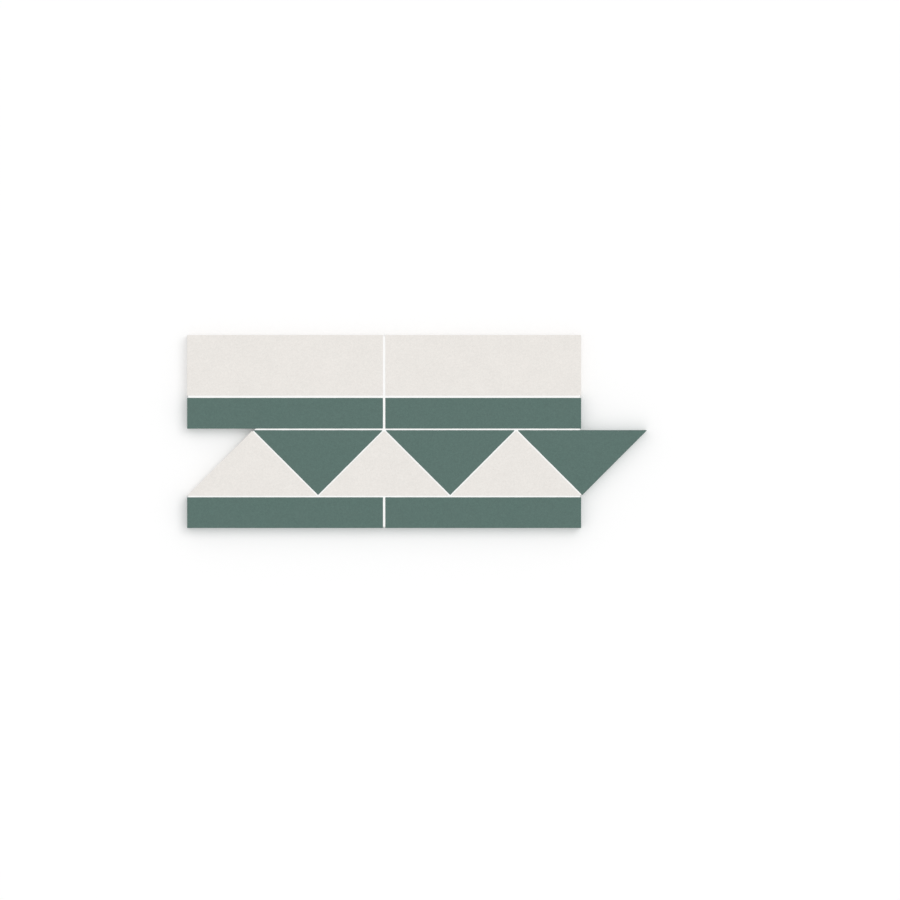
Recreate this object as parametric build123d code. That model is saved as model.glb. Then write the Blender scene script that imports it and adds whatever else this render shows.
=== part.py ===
from build123d import *
import math
import os

# A clinker border, one sheet of its repeat: off-white wide strips along the top, a green narrow strip under
# them, a row of green and off-white triangles that interlock, and a green narrow strip along the bottom.
# Every tile is a separate piece of unglazed, through-coloured stoneware, pressed in a die of its own outline.
# White cement grout fills the joints between the sheet's tiles. The triangle row is longer than the strips at
# one end and shorter at the other by half a triangle, so that the next sheet interlocks and no tile is cut.
#
# Millimetres. X runs along the border, Y across it towards the off-white strips, and Z up out of the faces.
# The origin is the middle of the sheet's bounding box, on the plane of the tiles' backs.

# The tiles' outlines
strip_length = 150.0
wide_strip_width = 46.4
narrow_strip_width = 23.6

# How the tiles are spaced
joint = 1.7  # between two strips, end to end or side by side
triangle_row_joint = 1.1  # from the triangles' row to the strips above and below it
slanted_joint = 0.9  # between two triangles, square across the joint
tip_gap = 0.5  # from a triangle's tip to the far side of its row
strips_per_row = 2
triangles_per_colour = 3

# The section of a pressed tile
tile_thickness = 9.0
arris_radius = 0.3  # round the face
face_corner_radius = 0.1  # at the face's own corners, inside the arris
back_bevel = 0.7  # round the back
back_rim = 4.0  # plain border of the back, outside the keying grooves
groove_width = 4.0  # at the mouth
groove_pitch = 7.6
groove_depth = 0.8
groove_slope = 30.0  # degrees that a groove's walls lean, so that the punch lets go

# The grout
grout_recess = 0.15  # from the tiles' faces down to the grout's edges
grout_dish = 0.1  # depth of the tooled hollow
grout_lift = 1.6  # from the backs up to the grout's underside
grout_setback = 0.8  # from the sheet's free edges in to the grout's ends

# The upright corners, in plan
corner_radius = face_corner_radius + arris_radius

# Along the border: the triangles divide the strips' repeat evenly
strip_pitch = strip_length + joint
sheet_pitch = strips_per_row * strip_pitch
row_length = sheet_pitch - joint
triangle_pitch = sheet_pitch / triangles_per_colour

# A triangle is right-angled, with its long side along the border. Its size is what the joints leave.
long_side = triangle_pitch + 2 * tip_gap - 2 * math.sqrt(2) * slanted_joint
triangle_height = long_side / 2
triangle_row_height = triangle_height + tip_gap

# Across the border, each row's lower edge
lower_line_y = 0.0
triangle_row_y = lower_line_y + narrow_strip_width + triangle_row_joint
triangle_row_top = triangle_row_y + triangle_row_height
upper_line_y = triangle_row_top + triangle_row_joint
wide_row_y = upper_line_y + narrow_strip_width + joint
top_y = wide_row_y + wide_strip_width

# A green tip points down into the joint between two strips, and an off-white tip points up halfway between
first_tip_x = -joint / 2
white_tips_x = [first_tip_x + (n + 0.5) * triangle_pitch for n in range(triangles_per_colour)]
green_tips_x = [first_tip_x + (n + 1) * triangle_pitch for n in range(triangles_per_colour)]

# Where the sheet's free slanted edges, at 45 degrees, would reach the lower edge of the triangles' row
left_foot_x = white_tips_x[0] - triangle_height
right_foot_x = green_tips_x[-1] - tip_gap


def strip_outline(width, inset):
    """A strip seen from above, centred, and drawn in by the inset on every side."""
    shape = Rectangle(strip_length - 2 * inset, width - 2 * inset)
    return fillet(shape.vertices(), corner_radius)


def triangle_outline(inset):
    """A triangle with its long side along Y 0 and its tip up, drawn in by the inset on every side."""
    half = long_side / 2 - inset * (1 + math.sqrt(2))
    shape = Polygon((-half, inset), (half, inset), (0, inset + half), align=None)
    return fillet(shape.vertices(), corner_radius)


def groove_centres(low, high):
    """Where the grooves' centre lines lie, evenly about the middle of a back that is plain at both sides."""
    room = high - low - 2 * back_rim
    count = max(1, 1 + int((room - groove_width) // groove_pitch))
    middle = (low + high) / 2
    return [middle + (n - (count - 1) / 2) * groove_pitch for n in range(count)]


def keying(outline, centres):
    """Shallow grooves along X, with sloped walls and ends, that the bedding grips. They stop at the rim."""
    lean = groove_depth * math.tan(math.radians(groove_slope))
    floor = Plane.XY.offset(groove_depth)
    field = loft([outline(back_rim), floor * outline(back_rim + lean)], ruled=True)
    half_mouth, half_floor = groove_width / 2, groove_width / 2 - lean
    grooves = Part()
    for y in centres:
        section = Plane.YZ * Polygon(
            (y - half_mouth, 0), (y + half_mouth, 0), (y + half_floor, groove_depth),
            (y - half_floor, groove_depth), align=None,
        )
        grooves += extrude(section, strip_length / 2, both=True)
    return grooves & field


def pressed_tile(outline, centres):
    """One tile, face up, from its outline: a bevelled back, upright sides, a rounded arris and a keyed back."""
    shoulder = Plane.XY.offset(back_bevel)
    tile = loft([outline(back_bevel), shoulder * outline(0)], ruled=True)
    tile += extrude(shoulder * outline(0), tile_thickness - back_bevel)
    tile = fillet(tile.faces().sort_by(Axis.Z)[-1].edges(), arris_radius)
    return tile - keying(outline, centres)


def strip_tile(width):
    return pressed_tile(lambda inset: strip_outline(width, inset), groove_centres(-width / 2, width / 2))


def triangle_tile():
    """The grooves stop below the tip, where one would be less than twice as long as it is wide."""
    highest = triangle_height - back_rim * (math.sqrt(2) - 1) - groove_width
    return pressed_tile(triangle_outline, groove_centres(0, highest))


def row_of_strips(name, width, y):
    """Strips end to end with a joint between, their lower edges at y."""
    tile = strip_tile(width)
    return {
        f"{name}_{n + 1}": Pos(n * strip_pitch + strip_length / 2, y + width / 2) * tile
        for n in range(strips_per_row)
    }


def row_of_triangles():
    """Off-white triangles stand on the row's lower edge, and green ones hang from its upper edge."""
    tile = triangle_tile()
    white = {
        f"white_triangle_{n + 1}": Pos(x, triangle_row_y) * tile for n, x in enumerate(white_tips_x)
    }
    green = {
        f"green_triangle_{n + 1}": Pos(x, triangle_row_top) * Rot(0, 0, 180) * tile
        for n, x in enumerate(green_tips_x)
    }
    return {**white, **green}


def tooled_hollow(start, end, width):
    """The round hollow that a jointer leaves in the grout from one point to the other."""
    radius = (width**2 / 4 + grout_dish**2) / (2 * grout_dish)
    run = Vector(*end) - Vector(*start)
    level = tile_thickness - grout_recess - grout_dish + radius
    axis = Plane(origin=(*start, level), z_dir=run)
    return extrude(axis * Circle(radius), run.length)


def sheet_outline():
    """The sheet seen from above, with the notch and the overhang of the triangles' row at its ends."""
    return Polygon(
        (0, lower_line_y), (row_length, lower_line_y),
        (row_length, triangle_row_y + row_length - right_foot_x),
        (right_foot_x + triangle_row_height, triangle_row_top), (row_length, triangle_row_top),
        (row_length, top_y), (0, top_y), (0, upper_line_y),
        (left_foot_x + upper_line_y - triangle_row_y, upper_line_y), (0, triangle_row_y - left_foot_x),
        align=None,
    )


def joint_grout(tiles):
    """What the tiles leave of the sheet, in one piece, tooled hollow along the middle of each joint."""
    plan = offset(sheet_outline(), -grout_setback, kind=Kind.INTERSECTION)
    grout = extrude(Plane.XY.offset(grout_lift) * plan, tile_thickness - grout_recess - grout_lift)
    for tile in tiles:
        grout -= tile

    lower_y = triangle_row_y - triangle_row_joint / 2
    middle_y = upper_line_y - triangle_row_joint / 2
    upper_y = wide_row_y - joint / 2
    for y, width in ((lower_y, triangle_row_joint), (middle_y, triangle_row_joint), (upper_y, joint)):
        grout -= tooled_hollow((0, y), (sheet_pitch, y), width)
    for n in range(1, strips_per_row):
        x = n * strip_pitch - joint / 2
        grout -= tooled_hollow((x, lower_line_y), (x, lower_y), joint)
        grout -= tooled_hollow((x, middle_y), (x, top_y), joint)
    for n in range(2 * triangles_per_colour - 1):
        x = white_tips_x[0] + triangle_pitch / 4 + n * triangle_pitch / 2
        lean = (middle_y - lower_y) / 2 * (-1 if n % 2 == 0 else 1)
        grout -= tooled_hollow((x - lean, lower_y), (x + lean, middle_y), slanted_joint)
    return grout


tiles = {
    **row_of_strips("wide_strip", wide_strip_width, wide_row_y),
    **row_of_strips("upper_narrow_strip", narrow_strip_width, upper_line_y),
    **row_of_triangles(),
    **row_of_strips("lower_narrow_strip", narrow_strip_width, lower_line_y),
}
sheet = {**tiles, "joint_grout": joint_grout(tiles.values())}

middle = Compound(list(sheet.values())).bounding_box().center()
os.makedirs("parts", exist_ok=True)
for name, shape in sheet.items():
    export_step(Pos(-middle.X, -middle.Y) * shape, f"parts/{name}.step")
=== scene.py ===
import math

import bpy
import numpy as np
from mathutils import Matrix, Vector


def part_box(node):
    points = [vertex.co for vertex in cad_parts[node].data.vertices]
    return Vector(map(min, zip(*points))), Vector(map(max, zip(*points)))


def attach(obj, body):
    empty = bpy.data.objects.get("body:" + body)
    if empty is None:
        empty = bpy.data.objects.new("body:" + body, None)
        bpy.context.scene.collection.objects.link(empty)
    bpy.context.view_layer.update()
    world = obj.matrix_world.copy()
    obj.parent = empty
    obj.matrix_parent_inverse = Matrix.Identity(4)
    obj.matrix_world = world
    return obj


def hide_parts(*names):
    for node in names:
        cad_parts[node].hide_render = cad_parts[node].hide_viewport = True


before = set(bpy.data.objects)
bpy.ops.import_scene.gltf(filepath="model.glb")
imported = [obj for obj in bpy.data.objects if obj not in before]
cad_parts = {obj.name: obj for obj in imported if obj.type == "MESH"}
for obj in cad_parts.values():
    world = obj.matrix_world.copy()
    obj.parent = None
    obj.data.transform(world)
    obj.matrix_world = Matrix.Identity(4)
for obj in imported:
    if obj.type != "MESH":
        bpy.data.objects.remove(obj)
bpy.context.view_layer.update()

# The tiles. Each is clay dust pressed hard in a steel die, then fired until it vitrifies. They have no glaze:
# the pigment is in the clay, so the edges and back have the colour of the face. The off-white ones are the
# wide strips and the triangles with their tips up, and the green ones are the rest.
off_white = "#EAE6E1"
green = "#516C65"
off_white_contrast = 0.03  # by which a granule or a fleck is paler or darker than the body
green_contrast = 0.07
cloud_contrast = 0.012
pit_painted_shade = 0.55  # of the body's tone in a pit, darker: painted shade in the hollow
granule = 0.0005  # m across a coarse granule of the spray-dried clay
fleck = 0.0016  # m between the clusters of paler and darker granules
cloud = 0.014  # m between the paler and darker clouds of the firing
pit_spacing = 0.003  # m between the bubbles in the body, of which few reach the surface
pit_radius = 0.00014  # m
pit_floor = 0.6  # of the radius, inside which a pit is at its deepest
granule_relief = 0.00002  # m
granule_sharpness = 0.6  # of the relief, because the press has flattened the granules
pit_depth = 0.00008  # m
fired_clay_ior = 1.5
smoothest, dullest = 0.56, 0.68  # roughness, which follows the clouds
pattern_shift = (0.37, 0.19, 0.0)  # m in the pattern from one tile to the next, so that each has its own


def linear(code):
    """Turns an sRGB hex colour to linear light."""
    srgb = np.array([int(code[at:at + 2], 16) for at in (1, 3, 5)]) / 255
    light = np.where(srgb <= 0.04045, srgb / 12.92, ((srgb + 0.055) / 1.055) ** 2.4)
    return (*light.tolist(), 1.0)


def add(tree, kind, settings=None, **inputs):
    """Adds a node. Settings are its own values. An input has its name, or an underscore and its number, and
    is a value, another node's output socket, or a node, which stands for its first output."""
    made = tree.nodes.new(kind)
    for name, value in (settings or {}).items():
        setattr(made, name, value)
    for name, value in inputs.items():
        socket = made.inputs[int(name[1:])] if name[1:].isdigit() else made.inputs[name.replace("_", " ")]
        if isinstance(value, bpy.types.Node):
            value = value.outputs[0]
        if isinstance(value, bpy.types.NodeSocket):
            tree.links.new(value, socket)
        else:
            socket.default_value = value
    return made


def material(name):
    """A new material with an empty shader tree, and the tree."""
    made = bpy.data.materials.new(name)
    made.use_nodes = True
    made.node_tree.nodes.clear()
    return made, made.node_tree


def unglazed_clinker(name, colour, place, contrast):
    """Unglazed vitrified clinker, dust-pressed: a dense, matt body of granules that the press has flattened
    into each other. The eye sees one even colour that is finely grained close by, a few pinholes with
    painted shade in them, and a dull sheen at a low angle, where the fired clay is slightly glassy."""
    made, tree = material(name)
    where = add(tree, "ShaderNodeTexCoord").outputs["Object"]
    own = add(tree, "ShaderNodeMapping", Vector=where, Location=place)
    granules = add(tree, "ShaderNodeTexVoronoi", Vector=own, Scale=1 / granule)
    shade = add(tree, "ShaderNodeSeparateColor", Color=granules.outputs["Color"])
    flecks = add(tree, "ShaderNodeTexNoise", Vector=own, Scale=1 / fleck, Detail=3.0, Roughness=0.65)
    clouds = add(tree, "ShaderNodeTexNoise", Vector=own, Scale=1 / cloud, Detail=3.0, Roughness=0.5)
    bubbles = add(tree, "ShaderNodeTexVoronoi", Vector=own, Scale=1 / pit_spacing)
    pit = pit_radius / pit_spacing
    clear = add(tree, "ShaderNodeMapRange", Value=bubbles, From_Min=pit_floor * pit, From_Max=pit)

    usual = {"From_Min": 0.3, "From_Max": 0.7}  # between which nearly all of a noise's values lie
    tones = (
        add(tree, "ShaderNodeMapRange", Value=shade, To_Min=1 - contrast, To_Max=1 + contrast),
        add(tree, "ShaderNodeMapRange", Value=flecks, **usual, To_Min=1 - contrast, To_Max=1 + contrast),
        add(tree, "ShaderNodeMapRange", Value=clouds, **usual,
            To_Min=1 - cloud_contrast, To_Max=1 + cloud_contrast),
        # the pits, darkened: painted shade in their hollows
        add(tree, "ShaderNodeMapRange", Value=clear, To_Min=pit_painted_shade),
    )
    paint = linear(colour)[:3]
    for tone in tones:
        paint = add(tree, "ShaderNodeVectorMath", {"operation": "SCALE"}, _0=paint, Scale=tone)
    sheen = add(tree, "ShaderNodeMapRange", Value=clouds, **usual, To_Min=smoothest, To_Max=dullest)
    grained = add(tree, "ShaderNodeBump", Height=granules, Strength=granule_sharpness,
                  Distance=granule_relief)
    pitted = add(tree, "ShaderNodeBump", Height=clear, Normal=grained, Distance=pit_depth)
    shader = add(tree, "ShaderNodeBsdfPrincipled", Base_Color=paint, Roughness=sheen, IOR=fired_clay_ior,
                 Normal=pitted)
    add(tree, "ShaderNodeOutputMaterial", Surface=shader)
    return made


tiles = sorted(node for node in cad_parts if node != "joint_grout")
for number, node in enumerate(tiles):
    own_place = [number * shift for shift in pattern_shift]
    if node.startswith(("wide", "white")):
        fired = unglazed_clinker(f"off_white_clinker_{number + 1}", off_white, own_place, off_white_contrast)
    else:
        fired = unglazed_clinker(f"green_clinker_{number + 1}", green, own_place, green_contrast)
    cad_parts[node].material_slots[0].material = fired

# The grout. White cement and fine sand, pressed into the joints as a paste and wiped with a damp sponge. The
# sponge leaves it a little hollow, deeper in a wide joint, and it climbs the tiles' rounded edges.
grout_white = "#FFFFFE"
sand_contrast = 0.05  # by which a grain may be darker than the cement
pinhole_painted_shade = 0.6  # of the cement's tone in a pinhole, darker: painted shade in the hollow
sand = 0.0004  # m across a grain of sand
bubble_spacing = 0.002  # m between the air bubbles in the paste, of which few reach the face
bubble_radius = 0.00012  # m
hole_floor = 0.5  # of the radius, inside which a pinhole is at its deepest
sand_relief = 0.00008  # m
sand_sharpness = 0.6  # of the relief, because the cement rounds the grains off
hole_depth = 0.0001  # m
cement_ior = 1.5
cement_roughness = 0.92
wiped_depth = 0.00026  # m from the tiles' faces down to the middle of a wide joint
climb = 0.00011  # m that the grout rises towards a tile
climb_reach = 0.0003  # m over which the climb falls to about a third
waver = 0.000035  # m up and down, where the sponge pressed more or less
shortest_wave, longest_wave = 0.001, 0.02  # m
wave_count = 30
arris_radius = 0.0003  # m, round the tiles' faces
corner_radius = 0.0004  # m, of a tile seen from above
tuck = 0.00012  # m that the grout reaches in over the arrises, to meet them wherever its height brings it
grout_setback = 0.0008  # m from the sheet's free edges in to the grout's ends
grid_step = 0.0003  # m


def tile_outline(node):
    """A tile's corners seen from above, counterclockwise and still sharp, from its box. A triangle's corner
    of 45 degrees loses its radius times the square root of two to the rounding."""
    low, high = (np.array(corner[:2]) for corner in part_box(node))
    if "strip" in node:
        return np.array([low, (high[0], low[1]), high, (low[0], high[1])])
    middle = (low[0] + high[0]) / 2
    half = (high[0] - low[0]) / 2 + math.sqrt(2) * corner_radius
    if node.startswith("white"):
        return np.array([(middle - half, low[1]), (middle + half, low[1]), (middle, low[1] + half)])
    return np.array([(middle + half, high[1]), (middle - half, high[1]), (middle, high[1] - half)])


def sheet_outline():
    """The sheet seen from above, counterclockwise, with the overhang and the notch of its row of triangles.
    Their free sides rise by as much as they run."""
    left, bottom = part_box("lower_narrow_strip_1")[0][:2]
    right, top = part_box("wide_strip_2")[1][:2]
    notch_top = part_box("upper_narrow_strip_1")[0].y
    foot_x, foot_y = tile_outline("white_triangle_1")[0]
    end_x, end_y = tile_outline("green_triangle_3")[0]
    return np.array([
        (left, bottom), (right, bottom), (right, end_y + right - end_x), (end_x, end_y), (right, end_y),
        (right, top), (left, top), (left, notch_top), (foot_x + notch_top - foot_y, notch_top),
        (left, foot_y + left - foot_x),
    ])


def drawn_in(corners, by):
    """An outline with its sides moved inwards. A corner moves along the sum of its two sides' inward normals,
    divided by one plus their dot product."""
    sides = np.roll(corners, -1, axis=0) - corners
    sides /= np.linalg.norm(sides, axis=1, keepdims=True)
    after = np.stack([-sides[:, 1], sides[:, 0]], axis=1)
    before = np.roll(after, 1, axis=0)
    return corners + by * (before + after) / (1 + (before * after).sum(axis=1, keepdims=True))


def beyond(points, corners):
    """How far each point lies outside an outline, and below nought inside it: the distance to the nearest
    side, with its sign from how many sides lie to the right of the point."""
    nearest = np.full(len(points), np.inf)
    inside = np.zeros(len(points), bool)
    for start, end in zip(corners, np.roll(corners, -1, axis=0)):
        side, out = end - start, points - start
        share = np.clip(out @ side / (side @ side), 0, 1)[:, None]
        nearest = np.minimum(nearest, np.linalg.norm(out - share * side, axis=1))
        level_with = (start[1] > points[:, 1]) != (end[1] > points[:, 1])
        on_left = side[0] * out[:, 1] > side[1] * out[:, 0]
        inside ^= level_with & (on_left == (side[1] > 0))
    return np.where(inside, -nearest, nearest)


def from_tiles(points):
    """Each tile's distance to each point. A rounded outline is the sharp one drawn in by the radius and grown
    again by it."""
    return [beyond(points, drawn_in(tile_outline(node), corner_radius)) - corner_radius for node in tiles]


def from_nearest_tile(points):
    """The least of the distances to the tiles, which is below nought over a tile."""
    return np.min(from_tiles(points), axis=0)


def room_for_grout(points):
    """Above nought where there is grout: off every tile but for the tuck, and inside the setback."""
    inside_ends = -beyond(points, drawn_in(sheet_outline(), grout_setback))
    return np.minimum(from_nearest_tile(points) + tuck, inside_ends)


def between_tiles(points):
    """The points moved away from the tiles, so that a rim that lies over the arrises comes to the upright
    sides. At the rim the move is the tuck, and it fades evenly to none at three times the tuck from there.
    Its direction is the slope of the distance, which is its difference over a short way in X and in Y."""
    way = 1e-6
    slope = [
        (from_nearest_tile(points + step) - from_nearest_tile(points - step)) / (2 * way)
        for step in np.diag([way, way])
    ]
    from_rim = from_nearest_tile(points) + tuck
    move = tuck * np.clip(1 - from_rim / (3 * tuck), 0, 1)
    return points + move[:, None] * np.stack(slope, axis=1)


def wiped_face(points):
    """The height of the grout's face. Above the level of a wide joint's middle, each tile adds a climb that
    fades exponentially with the distance to it, so that the face hangs between two tiles as a chain does. The
    waver is a sum of plane waves in all directions, each as high as the root of its length."""
    climbs = sum(np.exp(-np.maximum(away, 0) / climb_reach) for away in from_tiles(points))
    chance = np.random.default_rng(4)
    lengths = np.geomspace(shortest_wave, longest_wave, wave_count)
    turns, starts = chance.uniform(0, 2 * np.pi, (2, wave_count))
    waves = 2 * np.pi / lengths * np.stack([np.cos(turns), np.sin(turns)])
    heights = np.sqrt(lengths)
    heights /= np.linalg.norm(heights)
    return face_level - wiped_depth + climb * climbs + waver * np.sin(points @ waves + starts) @ heights


def trimmed_grid(low, high, level_of):
    """A grid of triangles over a rectangle, cut off where a level falls below nought. Each cell is split
    along the diagonal whose ends differ least in level, and a side that crosses nought is cut in the
    proportion of its two levels. A level within a fiftieth of a step of nought is moved off it, so that no
    cut leaves a sliver."""
    across, up = (np.arange(low[axis], high[axis] + grid_step, grid_step) for axis in (0, 1))
    points = np.stack(np.meshgrid(across, up), axis=-1).reshape(-1, 2)
    level = level_of(points)
    least = grid_step / 50
    level = np.where(np.abs(level) < least, least, level)
    number = np.arange(len(points)).reshape(len(up), len(across))
    a, b = number[:-1, :-1].ravel(), number[:-1, 1:].ravel()
    d, c = number[1:, :-1].ravel(), number[1:, 1:].ravel()
    rising = np.abs(level[a] - level[c]) < np.abs(level[b] - level[d])
    first = np.stack([a, b, np.where(rising, c, d)], axis=1)
    second = np.stack([np.where(rising, a, b), c, d], axis=1)
    triangles = np.concatenate([first, second])

    def from_odd_corner(chosen, odd):
        start = odd[chosen].argmax(axis=1)[:, None]
        return np.take_along_axis(triangles[chosen], (start + np.arange(3)) % 3, axis=1)

    # The cut leaves the tip of a triangle that has one corner above nought, and the stump of one that has two
    kept = level[triangles] > 0
    count = kept.sum(axis=1)
    tips, stumps = from_odd_corner(count == 1, kept), from_odd_corner(count == 2, ~kept)
    sides = np.concatenate([tips[:, :2], tips[:, ::2], stumps[:, :2], stumps[:, ::2]])
    pairs, which = np.unique(np.sort(sides, axis=1), axis=0, return_inverse=True)
    from_level, to_level = level[pairs].T
    share = (from_level / (from_level - to_level))[:, None]
    cuts = points[pairs[:, 0]] * (1 - share) + points[pairs[:, 1]] * share
    ends = np.cumsum([len(tips), len(tips), len(stumps)])
    tip_near, tip_far, stump_near, stump_far = np.split(which.ravel() + len(points), ends)
    faces = np.concatenate([
        triangles[count == 3],
        np.stack([tips[:, 0], tip_near, tip_far], axis=1),
        np.stack([stump_near, stumps[:, 1], stumps[:, 2]], axis=1),
        np.stack([stump_near, stumps[:, 2], stump_far], axis=1),
    ])
    used, faces = np.unique(faces, return_inverse=True)
    return np.concatenate([points, cuts])[used], faces.reshape(-1, 3)


def slab(name, face_plan, faces, plan, face_heights, shoulder, underside):
    """A closed mesh. Its face is the grid in the face's plan, at the face's heights. Its underside is the
    same grid turned over, in the plan of the joints. From each side that only one triangle has, a wall goes
    down by way of the shoulder, where the joints' plan starts. The face alone is smooth."""
    sides = np.concatenate([faces[:, [0, 1]], faces[:, [1, 2]], faces[:, [2, 0]]])
    _, which, uses = np.unique(np.sort(sides, axis=1), axis=0, return_inverse=True, return_counts=True)
    start, end = sides[uses[which.ravel()] == 1].T
    rim = np.unique(start)
    below = len(plan)
    at_shoulder = np.full(below, -1)
    at_shoulder[rim] = 2 * below + np.arange(len(rim))
    upper_walls = np.stack([end, start, at_shoulder[start], at_shoulder[end]], axis=1)
    lower_walls = np.stack([at_shoulder[end], at_shoulder[start], start + below, end + below], axis=1)
    corners = np.concatenate([
        np.column_stack([face_plan, face_heights]),
        np.column_stack([plan, np.full(below, underside)]),
        np.column_stack([plan[rim], np.full(len(rim), shoulder)]),
    ])
    made = bpy.data.meshes.new(name)
    loops = faces.tolist() + (faces[:, ::-1] + below).tolist() + upper_walls.tolist() + lower_walls.tolist()
    made.from_pydata(corners, [], loops)
    made.polygons.foreach_set("use_smooth", np.arange(len(loops)) < len(faces))
    return made


def cement_grout(name, colour):
    """White cement grout with fine sand: dead matt, a little rough where the sponge has bared the sand, with
    a pinhole here and there whose shade is painted darker, and very slightly uneven in tone from grain to
    grain."""
    made, tree = material(name)
    where = add(tree, "ShaderNodeTexCoord").outputs["Object"]
    grains = add(tree, "ShaderNodeTexVoronoi", Vector=where, Scale=1 / sand)
    shade = add(tree, "ShaderNodeSeparateColor", Color=grains.outputs["Color"])
    bubbles = add(tree, "ShaderNodeTexVoronoi", Vector=where, Scale=1 / bubble_spacing)
    hole = bubble_radius / bubble_spacing
    clear = add(tree, "ShaderNodeMapRange", Value=bubbles, From_Min=hole_floor * hole, From_Max=hole)

    paint = linear(colour)[:3]
    for tone in (
        add(tree, "ShaderNodeMapRange", Value=shade, To_Min=1 - sand_contrast),
        # the pinholes, darkened: painted shade in their hollows
        add(tree, "ShaderNodeMapRange", Value=clear, To_Min=pinhole_painted_shade),
    ):
        paint = add(tree, "ShaderNodeVectorMath", {"operation": "SCALE"}, _0=paint, Scale=tone)
    sandy = add(tree, "ShaderNodeBump", {"invert": True}, Height=grains, Strength=sand_sharpness,
                Distance=sand_relief)
    holed = add(tree, "ShaderNodeBump", Height=clear, Normal=sandy, Distance=hole_depth)
    shader = add(tree, "ShaderNodeBsdfPrincipled", Base_Color=paint, Roughness=cement_roughness,
                 IOR=cement_ior, Normal=holed)
    add(tree, "ShaderNodeOutputMaterial", Surface=shader)
    return made


face_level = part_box("wide_strip_1")[1].z
grout_low, grout_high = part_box("joint_grout")
wiped_plan, grid_faces = trimmed_grid(grout_low, grout_high, room_for_grout)
grout_mesh = slab("wiped_grout", wiped_plan, grid_faces, between_tiles(wiped_plan), wiped_face(wiped_plan),
                  face_level - arris_radius, grout_low.z)
grout_mesh.materials.append(cement_grout("white_cement_grout", grout_white))
grout = bpy.data.objects.new("wiped_grout", grout_mesh)
bpy.context.scene.collection.objects.link(grout)
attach(grout, "root")
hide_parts("joint_grout")

# The floor. A plain white sheet of paper that the border lies on, wide enough to fill every view. It keeps
# the border's soft shadow.
paper = "#F1F1F1"
white = "#FFFFFF"
paper_lift = 0.13  # of white
floor_half = 4.0  # m
floor_level = -0.00005  # m, just clear of the tiles' backs


def paper_floor(name):
    """White paper: matt, lit as everything else is. What the light leaves short of white is added for the
    camera, and for reflections, so that the border lies on white."""
    made, tree = material(name)
    rays = add(tree, "ShaderNodeLightPath")
    seen = rays.outputs["Is Camera Ray"]
    for kind in ("Is Glossy Ray", "Is Transmission Ray"):
        seen = add(tree, "ShaderNodeMath", {"operation": "MAXIMUM"}, _0=seen, _1=rays.outputs[kind])
    lit = add(tree, "ShaderNodeBsdfDiffuse", Color=linear(paper))
    glow = add(tree, "ShaderNodeEmission", Color=linear(white), Strength=paper_lift)
    lift = add(tree, "ShaderNodeMixShader", Fac=seen, _2=glow)
    both = add(tree, "ShaderNodeAddShader", _0=lit, _1=lift)
    add(tree, "ShaderNodeOutputMaterial", Surface=both)
    return made


corners = [(x * floor_half, y * floor_half, floor_level) for x, y in ((-1, -1), (1, -1), (1, 1), (-1, 1))]
floor_mesh = bpy.data.meshes.new("floor")
floor_mesh.from_pydata(corners, [], [(0, 1, 2, 3)])
floor_mesh.materials.append(paper_floor("white_paper"))
floor = bpy.data.objects.new("floor", floor_mesh)
bpy.context.scene.collection.objects.link(floor)

# The light. An even white sky gives most of it. One wide soft lamp from the upper right of the picture gives
# the edges their form, and the two together light a level face at full strength.
sky_strength = 0.84
lamp_share = 0.16  # of the light on a level face
lamp_tilt = math.radians(38.0)
lamp_turn = math.radians(130.0)
lamp_spread = math.radians(35.0)

world = bpy.data.worlds.new("sky")
bpy.context.scene.world = world
world.use_nodes = True
world.node_tree.nodes.clear()
sky = add(world.node_tree, "ShaderNodeBackground", Color=linear(white), Strength=sky_strength)
add(world.node_tree, "ShaderNodeOutputWorld", Surface=sky)

lamp = bpy.data.lights.new("soft_lamp", "SUN")
lamp.angle = lamp_spread
lamp.energy = lamp_share * math.pi / math.cos(lamp_tilt)
lamp_holder = bpy.data.objects.new("soft_lamp", lamp)
lamp_holder.rotation_euler = (lamp_tilt, 0.0, lamp_turn)
bpy.context.scene.collection.objects.link(lamp_holder)
bpy.context.scene.view_settings.view_transform = "Standard"

# The camera. It looks straight down on the border, which lies along the picture at the photograph's scale and
# place. A long lens shows the faces square on, and hardly any of the edges.
photo_pixel = 0.0007656  # m on the tiles' faces
photo_width = 900  # px
photo_left = 187.1  # px, the strips' left ends
photo_top = 335.0  # px, the wide strips' upper edges
long_lens = 300.0  # mm

strips_left, strips_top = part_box("wide_strip_1")[0].x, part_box("wide_strip_1")[1].y
eye = bpy.data.cameras.new("camera")
eye.lens = long_lens
eye_holder = bpy.data.objects.new("camera", eye)
eye_holder.location = (
    strips_left + (photo_width / 2 - photo_left) * photo_pixel,
    strips_top - (photo_width / 2 - photo_top) * photo_pixel,
    face_level + photo_width * photo_pixel * long_lens / eye.sensor_width,
)
bpy.context.scene.collection.objects.link(eye_holder)
bpy.context.scene.camera = eye_holder
